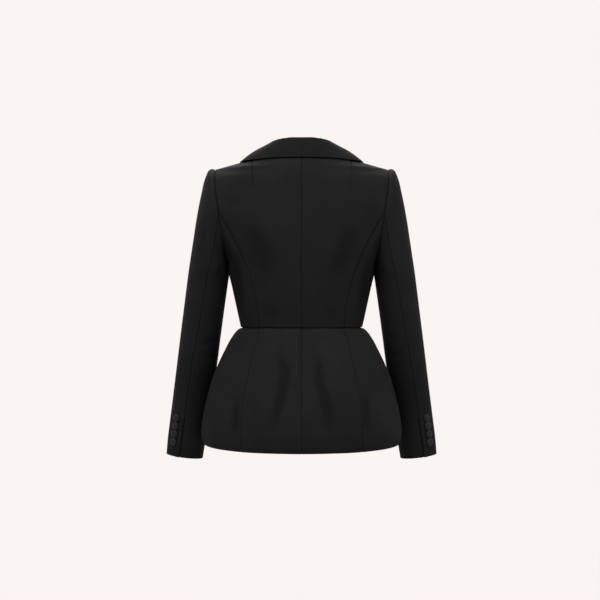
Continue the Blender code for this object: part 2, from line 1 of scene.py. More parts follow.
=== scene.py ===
"""A black peplum jacket, seen from behind: fine cloth shells on the solids of its cut pieces.

Sizes are in millimetres until a mesh is made, in the frame of the solids: the front faces -Y,
the wearer's left is +X, +Z is up, and the origin is the middle of the neck.
"""

import math

import bpy
import numpy as np
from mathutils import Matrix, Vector


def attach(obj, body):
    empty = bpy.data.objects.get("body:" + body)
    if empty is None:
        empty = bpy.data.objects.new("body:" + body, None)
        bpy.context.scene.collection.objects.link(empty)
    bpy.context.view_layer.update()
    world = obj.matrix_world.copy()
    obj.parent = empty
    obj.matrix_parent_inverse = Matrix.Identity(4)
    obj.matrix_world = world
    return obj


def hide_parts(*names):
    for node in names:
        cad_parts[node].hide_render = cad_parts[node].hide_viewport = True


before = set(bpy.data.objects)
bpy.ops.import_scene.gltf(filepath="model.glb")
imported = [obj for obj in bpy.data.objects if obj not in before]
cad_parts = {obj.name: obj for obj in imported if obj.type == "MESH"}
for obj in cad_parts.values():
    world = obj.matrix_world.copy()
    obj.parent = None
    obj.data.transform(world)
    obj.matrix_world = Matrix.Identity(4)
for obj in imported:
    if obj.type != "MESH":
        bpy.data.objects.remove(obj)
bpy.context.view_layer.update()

MM = 0.001

CLOTH = 2.0
NECK_HALF = 75.0
SHOULDER_HALF = 185.0
SHOULDER_DROP = 30.5
ARM_MIDDLE = -129.25
ARM_HALF = 98.75
ARM_BOTTOM_X = 159.0
ARM_DEPTH = {"back": 72.0, "front": 66.0}
PRINCESS_TOP = -127.0
WAIST = -369.0
PEPLUM_TOP = -369.4
HEM = -621.5
PEPLUM_RUN = (WAIST, HEM)
HEM_RISE = 4.0
OVERLAP = 18.0
OVERLAP_LIFT = 2.7
# Where the right front starts to stand off the left one, and over how far: inward, and down.
LAP = dict(outer=62.0, across=40.0, top=-150.0, down=45.0)
# The power of the rounded sections, and how far out the flanks' depths are given.
ROUNDNESS = 2.1
FLANK_SHARE = 0.8
# How far a fold reaches up and down, and over how many rings a sleeve leaves the armhole.
FOLD_REACH = 85.0
JOIN_RINGS = 5.0
FACING = {"back": 1.0, "front": -1.0}
HALVES = (("left", 1), ("right", -1))
FORWARD = np.array([0.0, -1.0, 0.0])
UP = np.array([0.0, 0.0, 1.0])

# Buttons sit on the cloth, raised by seat, from the first one's level down at the pitch.
CUFF_BUTTON = dict(
    radius=8.75, height=4.0, seat=0.35, first=-565.0, pitch=17.8, count=4, angle=54.5
)
FRONT_BUTTON = dict(radius=11.0, height=5.2, seat=0.4, first=-268.0, pitch=42.0, count=3)


class Table:
    """Rows of named columns, read at any value of the first along a curve that never overshoots."""

    def __init__(self, names, *rows):
        self.names = names.split()
        self.rows = np.array(sorted(rows), float)

    def at(self, name, value):
        xs = self.rows[:, 0]
        ys = self.rows[:, self.names.index(name)]
        steps = np.diff(xs)
        slopes = np.diff(ys) / steps
        product = slopes[:-1] * slopes[1:]
        total = np.where(product > 0, slopes[:-1] + slopes[1:], 1.0)
        inner = np.where(product > 0, 2 * product / total, 0.0)
        slopes = np.concatenate([slopes[:1], inner, slopes[-1:]])
        value = np.clip(value, xs[0], xs[-1])
        i = np.clip(np.searchsorted(xs, value) - 1, 0, len(steps) - 1)
        t = (value - xs[i]) / steps[i]
        rise = t * t * (3 - 2 * t)
        bend = slopes[i] * t * (1 - t) ** 2 - slopes[i + 1] * t * t * (1 - t)
        return ys[i] + (ys[i + 1] - ys[i]) * rise + steps[i] * bend


# Levels of the bodice: the x of its outer edge behind and before, its depths at the centre, and
# the share of those depths that is left at four fifths of the way out.
BODICE = Table(
    "level back_edge front_edge back front back_flank front_flank",
    (0, 75, 75, 62, -25, 0.612, 0.612),
    (-15, 129.1, 129.1, 76, -42, 0.582, 0.582),
    (-30.5, 185, 185, 87, -58, 0.555, 0.555),
    (-50, 184.4, 180, 94, -78, 0.704, 0.731),
    (-70, 182.4, 174, 98.5, -92, 0.760, 0.753),
    (-106, 177.5, 167, 103.5, -111, 0.805, 0.745),
    (-127, 174, 164.5, 105, -119, 0.811, 0.731),
    (-152, 170, 162.5, 105.5, -127, 0.808, 0.718),
    (-172, 166.5, 161.5, 105.5, -132, 0.797, 0.711),
    (-199, 163.5, 160.5, 105, -136, 0.766, 0.700),
    (-217, 161, 160, 104, -137, 0.734, 0.690),
    (-228, 159, 159, 103, -136, 0.710, 0.683),
    (-246, 157.4, 157.4, 101.3, -134.3, 0.682, 0.671),
    (-258, 155.2, 155.2, 100, -132, 0.668, 0.662),
    (-275, 151, 151, 98, -127.8, 0.656, 0.654),
    (-310, 143.2, 143.2, 94, -118, 0.643, 0.642),
    (-361, 132, 132, 88.5, -107.5, 0.626, 0.626),
    (-369, 129.8, 129.8, 88, -107, 0.626, 0.626),
)
# The princess seams run from the armhole to the waist.
PRINCESS = Table(
    "level back front",
    (-127, 174, 164.5),
    (-149.4, 159.7, 148),
    (-168.5, 148.6, 132),
    (-183.3, 141.2, 121),
    (-210.5, 127.7, 106),
    (-234.6, 118.3, 97),
    (-264.4, 107, 90),
    (-294.8, 99.7, 84),
    (-334.6, 91.4, 79),
    (-359, 90, 78),
    (-369, 90, 78),
)
# The x of the edge of the left front: the roll line of the lapel, then the straight front edge.
FRONT_EDGE = Table(
    "level x",
    (0, 75),
    (-60, 53),
    (-130, 25),
    (-193, 0),
    (-240, -18),
    (-640, -18),
)
# Levels of the peplum: its depths are measured from a middle that lies further back lower down,
# and back_seam and front_seam are the x of the seams of its side panels.
PEPLUM = Table(
    "level half_width middle back front back_seam front_seam",
    (-369.4, 130.1, 0, 88.4, 107.4, 89.5, 79),
    (-374.5, 138, 0.5, 94, 112, 91, 83),
    (-387, 148, 1.5, 105, 119, 94, 90),
    (-400, 156, 2.5, 112.5, 124, 97.5, 96),
    (-413, 162.5, 3, 119, 128, 100.5, 101),
    (-426, 169, 4, 124.5, 131, 103, 105),
    (-452, 181, 5, 134, 137, 108.5, 112),
    (-480, 192, 6, 143, 142, 114, 118),
    (-521, 203, 7, 153, 147, 121.5, 126),
    (-559, 211, 8, 161, 150, 124, 132),
    (-594, 214.6, 8, 166, 151, 124.5, 136),
    (-609, 213, 8, 166, 150, 124.5, 136),
    (-621.5, 208, 8, 164, 147, 124, 135),
)
# Soft folds of the peplum: x at its top and its hem, its width, its depth, and the level where it
# is deepest. A positive depth is a trough and a negative one a ridge.
FOLDS = {
    "back": (
        (46, 68, 24, 3.6, -520),
        (-34, -62, 22, 3.2, -545),
        (4, 2, 20, -2.6, -560),
        (112, 150, 20, 2.4, -585),
        (-118, -146, 22, 2.0, -575),
    ),
    "front": (
        (52, 84, 24, 3.2, -535),
        (-46, -76, 26, 3.4, -520),
        (118, 158, 20, 2.0, -580),
        (-122, -160, 20, 2.2, -570),
    ),
}
# Rings of a sleeve, from the armhole to the cuff: the outermost and innermost point of each,
# how far back its middle lies, and its depths behind and before that.
SLEEVE = Table(
    "ring outer_x outer_z inner_x inner_z middle back front",
    (0, 184.9, -30.5, 158.9, -228, 0, 72, 66),
    (1, 192.6, -28.6, 159.3, -229.5, 0, 73, 67),
    (2, 199.6, -32.3, 158.9, -231.5, 0, 73.2, 67.4),
    (3, 204.3, -42, 158.7, -234, 0, 73, 67.6),
    (4, 209.1, -55, 158.5, -237, 0, 72.4, 67.6),
    (5, 214.3, -78, 158.4, -241, -0.5, 71.2, 67.4),
    (6, 219.9, -104, 157.7, -245, -1.5, 69.6, 66.8),
    (7, 226.8, -142, 157, -249, -2.5, 67.8, 65.8),
    (8, 232.8, -181, 156.4, -253, -3.5, 66, 64.6),
    (9, 238.4, -217, 156.2, -258, -5, 64.4, 63.4),
    (10, 243.8, -252, 157.6, -266, -7, 63, 62.4),
    (11, 251.6, -310, 165.6, -321, -12, 60, 60),
    (12, 260.7, -375, 174.9, -386, -22, 57, 57),
    (13, 270, -440.4, 184, -451, -36, 54, 54),
    (14, 279.3, -506.4, 195, -517, -50, 50, 50),
    (15, 288.6, -573, 205.6, -583.5, -60, 46.5, 46.5),
    (16, 294.1, -613, 212, -623.5, -66, 44.5, 44.5),
    (17, 297.4, -647.7, 217.8, -658, -70, 43, 43),
)
# The angles of the sleeve's back seam and its front seam, from its outermost point.
SLEEVE_SEAMS = Table(
    "ring back front",
    (0, 95, -118),
    (1.5, 97.8, -118.6),
    (3.2, 100.6, -119.3),
    (5.7, 101.6, -120.3),
    (7.4, 99.8, -121),
    (10, 93.6, -122),
    (12, 86.8, -122),
    (13, 82.4, -121),
    (14, 80.3, -120),
    (15, 78.8, -118),
    (17, 77.6, -116),
)
# The collar from the centre back to its front end: its fold, the seam at its foot, the x and z
# of its outer edge, and how far that edge is lifted off the jacket.
COLLAR = Table(
    "turn fold_x fold_y fold_z seam_x seam_y seam_z edge_x edge_z lift",
    (0, 0, 76, 32, 0, 60, 1, 0, -13, 3.7),
    (0.1, 18, 74.5, 32, 17, 58.5, 1, 24, -13.2, 3.7),
    (0.2, 34, 69, 31.4, 33, 53.5, 1, 49, -13.5, 3.7),
    (0.3, 48, 59, 29.8, 47, 46, 1, 74, -14.5, 3.7),
    (0.4, 59, 46, 27.6, 58, 35, 1, 99, -16.3, 3.9),
    (0.5, 66, 30, 25.2, 65, 22, 1, 121, -18.2, 4.5),
    (0.6, 70, 12, 22, 68, 6, 0, 132, -18.6, 5.3),
    (0.7, 71.5, -8, 15, 68, -8, -3, 133, -25, 4.8),
    (0.8, 70, -27, 3, 65, -22, -10, 130, -36, 4.4),
    (0.9, 65.5, -48, -14, 60.5, -36, -22, 124.5, -48.5, 4),
    (1, 59.5, -67, -34, 55, -49, -40, 118, -61, 3.9),
)
# The lapel from the gorge to the break: the z of its roll edge, the x and z of its outer edge.
LAPEL = Table(
    "turn roll_z edge_x edge_z",
    (0, -40, 127, -74),
    (0.2, -78, 121, -104),
    (0.4, -118, 104, -138),
    (0.6, -158, 78, -172),
    (0.8, -198, 44, -206),
    (1, -236, -9, -239),
)
# How high the lapel's outer face stands off the front, from its roll edge to its outer edge.
LAPEL_HEIGHTS = Table("share height", (0, 2.7), (0.1, 5), (0.3, 4.6), (0.5, 4), (0.75, 3.7), (1, 3.4))
# The left lapel ends sooner, and keeps clear of the middle and, lower down, of the right front.
LEFT_LAPEL = dict(reach=0.9, clear=4.0, aside=5.0, aside_from=-180.0, fade=10.0)
# How far up the collar's stand and down its fall the columns lie.
STAND_SHARES = (-0.08, 0.45, 0.82)
FALL_SHARES = (0.28, 0.5, 0.75, 1.0)
# The fold's own roll, the fall's swell behind and how much more it swells in front, and the turns
# between which the edge passes from the back to the front and the swell sinks to nothing.
COLLAR_ROLL = dict(out=3.4, up=0.2)
COLLAR_SWELL = dict(back=3.2, front=4.3)
COLLAR_PASSES = (0.52, 0.64)
COLLAR_SINKS = (0.62, 0.96)


def limited(share):
    return np.clip(share, 0.0, 1.0)


def smooth(share):
    """A soft rise from 0 at a share of 0 to 1 at a share of 1."""
    share = limited(share)
    return share * share * (3 - 2 * share)


def between(value, limits):
    """The share of the way from the first limit to the second."""
    return limited((value - limits[0]) / (limits[1] - limits[0]))


def unit(vector):
    return vector / np.linalg.norm(vector, axis=-1, keepdims=True)


def run_along(line):
    """How far along a line of points each of them lies."""
    return np.concatenate([[0.0], np.cumsum(np.linalg.norm(np.diff(line, axis=0), axis=1))])


def arm_depth(level, side):
    """How far the armhole's edge lies from the middle at a level, 0 at its top and its bottom."""
    share = (level - ARM_MIDDLE) / ARM_HALF
    return ARM_DEPTH[side] * np.sqrt(limited(1 - share * share))


def body_y(x, level, side):
    """The y of the bodice's outer face. side is back or front."""
    on_shoulder = NECK_HALF - level * (SHOULDER_HALF - NECK_HALF) / SHOULDER_DROP
    edge = np.where(level > -SHOULDER_DROP, on_shoulder, BODICE.at(side + "_edge", level))
    arm = FACING[side] * arm_depth(level, side)
    centre = BODICE.at(side, level)
    share = limited(np.abs(x) / edge)
    flank = centre * BODICE.at(side + "_flank", level)
    rounding = np.log((flank - arm) / (centre - arm)) / math.log(1 - FLANK_SHARE**ROUNDNESS)
    return arm + (centre - arm) * (1 - share**ROUNDNESS) ** rounding


def shoulder_level(x):
    """The level of the neck and shoulder line at x."""
    slope = SHOULDER_DROP / (SHOULDER_HALF - NECK_HALF)
    return -np.clip(x - NECK_HALF, 0.0, None) * slope


def outer_edge(level, side):
    """The x of the outer edge of a back or front: the armhole, and below it the princess seam."""
    arm = BODICE.at(side + "_edge", level)
    return np.where(level > PRINCESS_TOP, arm, PRINCESS.at(side, level))


def front_lift(sign):
    """How far a front stands off the form at its edge: the right one lies over the left one."""
    return 0.0 if sign > 0 else OVERLAP_LIFT


def lapped(x, level, lift):
    """How far the upper of the two overlapping fronts stands off the form at a point."""
    across = smooth((LAP["outer"] - x) / LAP["across"])
    return lift * across * smooth((LAP["top"] - level) / LAP["down"])


def back_at(v, u):
    top = shoulder_level(u * SHOULDER_HALF)
    level = top + (WAIST - top) * v
    edge = np.where(level > -SHOULDER_DROP, SHOULDER_HALF, outer_edge(level, "back"))
    return edge * u, body_y(edge * u, level, "back"), level


def front_at(v, u, lift):
    top = shoulder_level(NECK_HALF + u * (SHOULDER_HALF - NECK_HALF))
    level = top + (WAIST - top) * v
    edge = np.where(level > -SHOULDER_DROP, SHOULDER_HALF, outer_edge(level, "front"))
    start = FRONT_EDGE.at("x", WAIST * v)
    x = start + (edge - start) * u
    return x, body_y(x, level, "front") - lapped(x, level, lift), level


def side_at(v, u):
    """The side panel, from the back princess seam round to the front one, under the armhole."""
    start = math.acos((PRINCESS_TOP - ARM_MIDDLE) / ARM_HALF)
    turn = start + (math.pi - start) * (1 - abs(1 - 2 * u))
    top = ARM_MIDDLE + ARM_HALF * np.cos(turn)
    level = top + (WAIST - top) * v
    sides = []
    for side in ("back", "front"):
        edge = BODICE.at(side + "_edge", level)
        seam = limited(PRINCESS.at(side, level) / edge)
        angle = np.arccos(seam ** (ROUNDNESS / 2))
        settle = np.where((u <= 0.0) | (u >= 1.0), 1.0, 1 - (1 - v) ** 4)
        x = edge * np.cos(angle * abs(1 - 2 * u) * settle) ** (2 / ROUNDNESS)
        sides.append((x, body_y(x, level, side)))
    back = u < 0.5
    x = np.where(back, sides[0][0], sides[1][0])
    y = np.where(back, sides[0][1], sides[1][1])
    return x, np.where(np.abs(u - 0.5) < 1e-9, 0.0, y), level


def peplum_form(x, level, side, away):
    """The y of the peplum at x, with its soft folds. away is +1 on the left and -1 on the right."""
    share = limited(x / PEPLUM.at("half_width", level))
    y = PEPLUM.at(side, level) * (1 - share**ROUNDNESS) ** (1 / ROUNDNESS)
    down = between(level, PEPLUM_RUN)
    fade = limited(down * 5) * (1 - share**6)
    for top, hem, width, depth, deepest in FOLDS[side]:
        near = np.exp(-(((x * away - top - (hem - top) * down) / width) ** 2))
        far = np.exp(-(((level - deepest) / FOLD_REACH) ** 2))
        y = y - depth * near * far * fade
    return PEPLUM.at("middle", level) + FACING[side] * y


def peplum_level(v):
    return PEPLUM_TOP + (HEM - PEPLUM_TOP) * v


def raised(x, level):
    """The level of a point of the peplum: its hem lies a little higher towards the sides."""
    out = np.abs(x) / PEPLUM.at("half_width", level)
    return level + HEM_RISE * out**4 * between(level, PEPLUM_RUN) ** 6


def peplum_back_at(v, u, away):
    level = peplum_level(v)
    x = PEPLUM.at("back_seam", level) * u
    return x, peplum_form(x, level, "back", away), raised(x, level)


def peplum_front_at(v, u, away, lift):
    level = peplum_level(v)
    x = -OVERLAP + (PEPLUM.at("front_seam", level) + OVERLAP) * u
    y = peplum_form(np.abs(x), level, "front", away) - lapped(x, level, lift)
    return x, y, raised(x, level)


def peplum_side_at(v, u, away):
    level = peplum_level(v)
    width = PEPLUM.at("half_width", level)
    back = np.arccos((PEPLUM.at("back_seam", level) / width) ** (ROUNDNESS / 2))
    front = np.arccos((PEPLUM.at("front_seam", level) / width) ** (ROUNDNESS / 2))
    angle = back - (back + front) * u
    x = width * np.cos(angle) ** (2 / ROUNDNESS)
    behind = peplum_form(x, level, "back", away)
    before = peplum_form(x, level, "front", away)
    return x, np.where(angle > 0, behind, before), raised(x, level)


def sleeve_at(ring, degrees):
    """A point of the left sleeve: the ring's number, and the angle from its outermost point."""
    angle = np.radians(np.where(degrees > 180.0, degrees - 360.0, degrees))
    out = np.cos(angle)
    outer_x, outer_z = SLEEVE.at("outer_x", ring), SLEEVE.at("outer_z", ring)
    inner_x, inner_z = SLEEVE.at("inner_x", ring), SLEEVE.at("inner_z", ring)
    x = (outer_x + inner_x) / 2 + (outer_x - inner_x) / 2 * out
    z = (outer_z + inner_z) / 2 + (outer_z - inner_z) / 2 * out
    depth = np.where(angle > 0, SLEEVE.at("back", ring), SLEEVE.at("front", ring))
    y = SLEEVE.at("middle", ring) + depth * np.sin(angle)
    level = ARM_MIDDLE + ARM_HALF * out
    edge = np.where(angle > 0, BODICE.at("back_edge", level), BODICE.at("front_edge", level))
    straight = (SHOULDER_HALF + ARM_BOTTOM_X) / 2 + (SHOULDER_HALF - ARM_BOTTOM_X) / 2 * out
    join = limited(1 - ring / JOIN_RINGS) ** 2
    return x + (edge - straight) * join, y, z


# The run down the sleeve at one angle, which says where each row of its cloth lies.
LAST_RING = 17
RUN_ANGLE = 50.0
RINGS = np.linspace(0.0, LAST_RING, 40 * LAST_RING + 1)
RING_RUN = run_along(np.stack(sleeve_at(RINGS, np.full_like(RINGS, RUN_ANGLE)), -1))
SLEEVE_LENGTH = float(RING_RUN[-1])


def sleeve_piece_at(v, u, seam_from, seam_to):
    """A piece from one seam round to the other; each is a name and the angle added to it."""
    ring = np.interp(v * SLEEVE_LENGTH, RING_RUN, RINGS)
    first = SLEEVE_SEAMS.at(seam_from[0], ring) + seam_from[1]
    last = SLEEVE_SEAMS.at(seam_to[0], ring) + seam_to[1]
    return sleeve_at(ring, first + (last - first) * u)


def on_body(x, level, side, lift):
    """A point lift above the bodice's outer face, moved along the face's normal."""
    y = body_y(x, level, side)
    along = body_y(x + 1.0, level, side) - y
    below = y - body_y(x, level - 1.0, side)
    sign = FACING[side]
    normal = unit(np.stack([-along * sign, np.full_like(y, sign), -below * sign], -1))
    return np.stack([x, y, level], -1) + normal * np.asarray(lift)[..., None]


def clear_of_front(points, over, lift):
    """The points, moved forward where they would lie nearer than lift to the front's face."""
    x, y, z = points[..., 0], points[..., 1], points[..., 2]
    face = body_y(x, np.minimum(z, shoulder_level(x)), "front") - lift
    moved = points.copy()
    moved[..., 1] = np.where(over[..., 0] > 0.5, np.minimum(y, face), y)
    return moved


def rounded(points, times):
    """The rows of points with their corners cut, again and again, so that they run smoothly."""
    for _ in range(times):
        near = points[:, :-1] * 0.75 + points[:, 1:] * 0.25
        far = points[:, :-1] * 0.25 + points[:, 1:] * 0.75
        middle = np.stack([near, far], axis=2).reshape(len(points), -1, points.shape[2])
        points = np.concatenate([points[:, :1], middle, points[:, -1:]], axis=1)
    return points


def spaced(points, shares):
    """Rows of points read again at the shares of each row's length."""
    made = np.zeros((len(points), len(shares), 3))
    for r, row in enumerate(points):
        run = run_along(row)
        for axis in range(3):
            made[r, :, axis] = np.interp(np.asarray(shares) * run[-1], run, row[:, axis])
    return made


def collar_profiles(turns):
    """The collar's profile at each turn: up its stand, over its fold, down to its outer edge."""
    fold = np.stack([COLLAR.at("fold_" + axis, turns) for axis in "xyz"], -1)
    seam = np.stack([COLLAR.at("seam_" + axis, turns) for axis in "xyz"], -1)
    lift = COLLAR.at("lift", turns)
    edge_x, edge_z = COLLAR.at("edge_x", turns), COLLAR.at("edge_z", turns)
    behind = on_body(edge_x, edge_z, "back", lift)
    before = on_body(edge_x, edge_z, "front", lift)
    over = between(turns, COLLAR_PASSES)[:, None]
    lying = 1.0 - between(turns, COLLAR_SINKS)[:, None]
    edge = behind * (1 - over) + before * over
    columns = [seam + (fold - seam) * share for share in STAND_SHARES]
    columns += [fold, fold + unit(edge - fold) * COLLAR_ROLL["out"] + UP * COLLAR_ROLL["up"]]
    fall_from = len(columns)
    most = COLLAR_SWELL["back"] + COLLAR_SWELL["front"] * over
    for share in FALL_SHARES:
        swell = most * 4 * share * (1 - share) * lying
        columns.append(fold + (edge - fold) * share + (UP + over * FORWARD) * swell)
    columns = np.stack(columns, axis=1)
    fall = clear_of_front(columns[:, fall_from:], over[:, None], lift[:, None])
    columns[:, fall_from:] = fall
    return columns


def lapel_points(rows, shares, sign):
    """The lapel's rows from the gorge down, each from its roll edge out."""
    left = LEFT_LAPEL
    turns = rows * (1.0 if sign < 0 else left["reach"])
    roll_z = LAPEL.at("roll_z", turns)
    roll_x = FRONT_EDGE.at("x", roll_z)
    if sign > 0:
        low = limited((left["aside_from"] - roll_z) / left["fade"])
        roll_x = np.hypot(roll_x, left["clear"]) + low * left["aside"]
    edge_x, edge_z = LAPEL.at("edge_x", turns), LAPEL.at("edge_z", turns)
    columns = []
    for share in shares:
        x = roll_x + (edge_x - roll_x) * share
        z = roll_z + (edge_z - roll_z) * share
        height = LAPEL_HEIGHTS.at("height", share) + lapped(x, z, front_lift(sign))
        columns.append(on_body(x, z, "front", height))
    return np.stack(columns, axis=1)


# How a piece's cloth lies beside a seam or a free edge, by the distance from it.
NEAR_AN_EDGE = np.array([0.0, 0.3, 0.7, 1.2, 1.9, 2.8, 4.0, 5.6, 7.6])
SEAM = dict(depth=1.5, width=1.25, welt=0.28, welt_at=3.4, welt_width=1.7)
EDGE_ROUND = 1.0
LEAST_WALL = 0.02
# The share of a crease's length over which it fades in and out, and the depth at which the painted
# shade in its trough is full.
CREASE_FADE = 0.4
FULL_PAINTED_SHADE_DEPTH = 3.0
# The cloth's texture runs in centimetres, moved aside on the inner face.
UV_SCALE = 0.1
INNER_UV_SHIFT = 3.7


def graded(length, step):
    """Shares of a length: about step apart, and closer beside its two ends."""
    near = NEAR_AN_EDGE
    inside = length - 2 * near[-1]
    count = int(round(inside / step))
    middle = near[-1] + inside * np.arange(1, count) / count
    return np.concatenate([near, middle, (length - near)[::-1]]) / length


def arcs(points, axis):
    """How far each point lies along its row or column."""
    steps = np.linalg.norm(np.diff(points, axis=axis), axis=-1)
    pad = [(1, 0), (0, 0)] if axis == 0 else [(0, 0), (1, 0)]
    return np.cumsum(np.pad(steps, pad), axis=axis)


def unit_normals(points, inside):
    """The grid's normals, away from inside, and whether its own turn faces the other way."""
    normal = np.cross(np.gradient(points, axis=1), np.gradient(points, axis=0))
    length = np.linalg.norm(normal, axis=-1, keepdims=True)
    normal = normal / np.maximum(length, 1e-9)
    turned = (normal * (points - inside)).sum() < 0
    return -normal if turned else normal, turned


def seam_dip(distance):
    """The cloth sinks into a seam, with a faint welt beside it."""
    dip = -SEAM["depth"] * np.exp(-((distance / SEAM["width"]) ** 1.3))
    beside = (distance - SEAM["welt_at"]) / SEAM["welt_width"]
    return dip + SEAM["welt"] * np.exp(-(beside**2))


def edge_round(distance):
    """How far a face falls towards the wall's middle beside a free edge."""
    near = limited(1 - distance / EDGE_ROUND)
    return EDGE_ROUND * (1 - np.sqrt(1 - near * near))


def crease_offset(points, creases):
    """Soft troughs along lines of points: each is so wide, so deep, and fades out at its ends."""
    offset = np.zeros(points.shape[:2])
    for line, width, depth in creases:
        run = run_along(line)
        best = np.full(points.shape[:2], np.inf)
        share = np.zeros(points.shape[:2])
        for i in range(len(line) - 1):
            way = line[i + 1] - line[i]
            t = limited(((points - line[i]) @ way) / (way @ way))
            away = np.linalg.norm(points - (line[i] + t[..., None] * way), axis=-1)
            closer = away < best
            best = np.where(closer, away, best)
            share = np.where(closer, (run[i] + t * (run[i + 1] - run[i])) / run[-1], share)
        fade = smooth(np.minimum(share, 1 - share) / CREASE_FADE)
        offset -= depth * fade * np.exp(-((best / width) ** 2))
    return offset


def shell_faces(rows, columns):
    """The outer face, the inner face behind it, and the rim that joins them."""
    count = rows * columns
    index = np.arange(count).reshape(rows, columns)
    a, b, c, d = index[:-1, :-1], index[:-1, 1:], index[1:, 1:], index[1:, :-1]
    quads = np.stack([a, b, c, d], -1).reshape(-1, 4)
    ring = np.concatenate([index[0, :], index[1:, -1], index[-1, -2::-1], index[-2:0:-1, 0]])
    following = np.roll(ring, -1)
    rim = np.stack([following, ring, ring + count, following + count], -1)
    return np.concatenate([quads, quads[:, ::-1] + count, rim])


def linked(name, mesh, finish):
    """A smooth object of the mesh, in the scene, riding the jacket."""
    mesh.shade_smooth()
    mesh.materials.append(finish)
    obj = bpy.data.objects.new(name, mesh)
    bpy.context.collection.objects.link(obj)
    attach(obj, "root")
    return obj


def shell(name, points, inside, edges, finish, creases=(), extra=None, tuck=0.0):
    """Cloth on the grid points: its outer face, its inner face and its four edges.

    edges says what each edge is, seam or free: first row, last row, first and last column.
    tuck is how far the first row goes on under the piece beside it.
    """
    points = points.copy()
    points[0] += unit(points[0] - points[1]) * tuck
    normal, turned = unit_normals(points, inside)
    down, across = arcs(points, 0), arcs(points, 1)
    distances = (np.maximum(down - tuck, 0.0), down[-1:] - down, across, across[:, -1:] - across)
    crease = crease_offset(points, creases)
    outer = crease
    inner = crease - CLOTH
    if extra is not None:
        added = extra(points, distances)
        outer = outer + added
        inner = inner + np.minimum(added, 0.0)
    for kind, distance in zip(edges, distances):
        if kind == "seam":
            outer = outer + seam_dip(distance)
        else:
            fall = edge_round(distance)
            outer = outer - fall
            inner = inner + fall * (CLOTH - EDGE_ROUND) / EDGE_ROUND
    inner = np.minimum(inner, outer - LEAST_WALL)
    both = [(points + normal * face[..., None]).reshape(-1, 3) for face in (outer, inner)]
    faces = shell_faces(*points.shape[:2])
    if turned:
        faces = faces[:, ::-1]
    mesh = bpy.data.meshes.new(name)
    mesh.from_pydata((np.concatenate(both) * MM).tolist(), [], faces.tolist())
    uv = mesh.uv_layers.new(name="cloth")
    flat = np.stack([across.reshape(-1), -down.reshape(-1)], -1) * UV_SCALE
    flat = np.concatenate([flat, flat + INNER_UV_SHIFT])
    loops = np.zeros(len(mesh.loops), np.int32)
    mesh.loops.foreach_get("vertex_index", loops)
    uv.data.foreach_set("uv", flat[loops].astype(np.float32).reshape(-1))
    # Painted shade: the cloth's colour is darkened along each crease's trough, more where it is
    # deeper, and this attribute carries that darkening to the material.
    painted_shade = limited(-crease / FULL_PAINTED_SHADE_DEPTH) ** 2
    shade = mesh.attributes.new("painted_shade", "FLOAT", "POINT")
    shade.data.foreach_set("value", np.tile(painted_shade.reshape(-1), 2).astype(np.float32))
    obj = linked(name, mesh, finish)
    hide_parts(name)


def grid(rows, columns, place, *more):
    """The points that place gives for each row and column."""
    v, u = np.meshgrid(rows, columns, indexing="ij")
    return np.stack(np.broadcast_arrays(*place(v, u, *more)), axis=-1).astype(float)


def mirrored(points):
    return points * np.array([-1.0, 1.0, 1.0])


# Soft creases: the side, the width, the depth, which is negative for a ridge, and the points that
# each runs through, by x and level, or by ring and angle on a sleeve. They differ side to side.
# A trough's depth also sets how much painted shade darkens the cloth's colour along it.
BODY_CREASES = {
    "left": (
        ("back", 26, 1.9, (122, -122), (84, -206), (55, -292)),
        ("back", 15, 2.6, (146, -195), (134, -280), (121, -356)),
        ("back", 8.5, 1.4, (162, -176), (157, -200), (150, -236)),
        ("back", 8, 0.8, (86, -350), (60, -341), (34, -338)),
        ("back", 9, 0.9, (169, -92), (142, -108), (118, -118)),
        ("back", 11, 0.8, (108, -262), (84, -282), (70, -310)),
        ("front", 8, 0.9, (16, -268), (48, -260), (82, -246)),
        ("front", 9, 0.9, (150, -206), (124, -196), (100, -190)),
        ("front", 8, 0.8, (76, -352), (50, -340), (28, -336)),
    ),
    "right": (
        ("back", 24, 1.9, (116, -128), (90, -206), (62, -284)),
        ("back", 14, 2.4, (147, -202), (133, -286), (120, -358)),
        ("back", 8, 1.5, (162, -172), (157, -198), (150, -230)),
        ("back", 9, 0.9, (88, -342), (62, -336), (44, -337)),
        ("back", 10, 0.8, (170, -108), (146, -121), (120, -126)),
        ("back", 10, 0.6, (60, -300), (52, -322), (50, -346)),
        ("front", 9, 0.8, (14, -262), (44, -250), (70, -228)),
        ("front", 8, 1, (152, -214), (122, -208), (98, -208)),
        ("front", 9, 0.7, (78, -344), (54, -334), (20, -330)),
    ),
}
PEPLUM_CREASES = {
    "left": (
        ("back", 11, 3, (52, -385), (34, -463), (46, -523), (67, -600)),
        ("back", 13, 2, (133, -490), (136, -550), (138, -612)),
        ("back", 7, 1, (20, -384), (62, -382)),
        ("back", 3.6, -1, (7, -380), (7, -480), (6, -610)),
        ("front", 12, 2.4, (46, -390), (52, -470), (70, -590)),
        ("front", 13, 1.8, (130, -500), (142, -605)),
    ),
    "right": (
        ("back", 11, 2.8, (30, -390), (38, -483), (52, -531), (61, -612)),
        ("back", 12, 2, (130, -480), (133, -545), (134, -606)),
        ("back", 7, 0.9, (24, -382), (70, -386)),
        ("front", 12, 2.2, (40, -396), (50, -460), (64, -560)),
        ("front", 13, 1.8, (126, -470), (144, -596)),
    ),
}
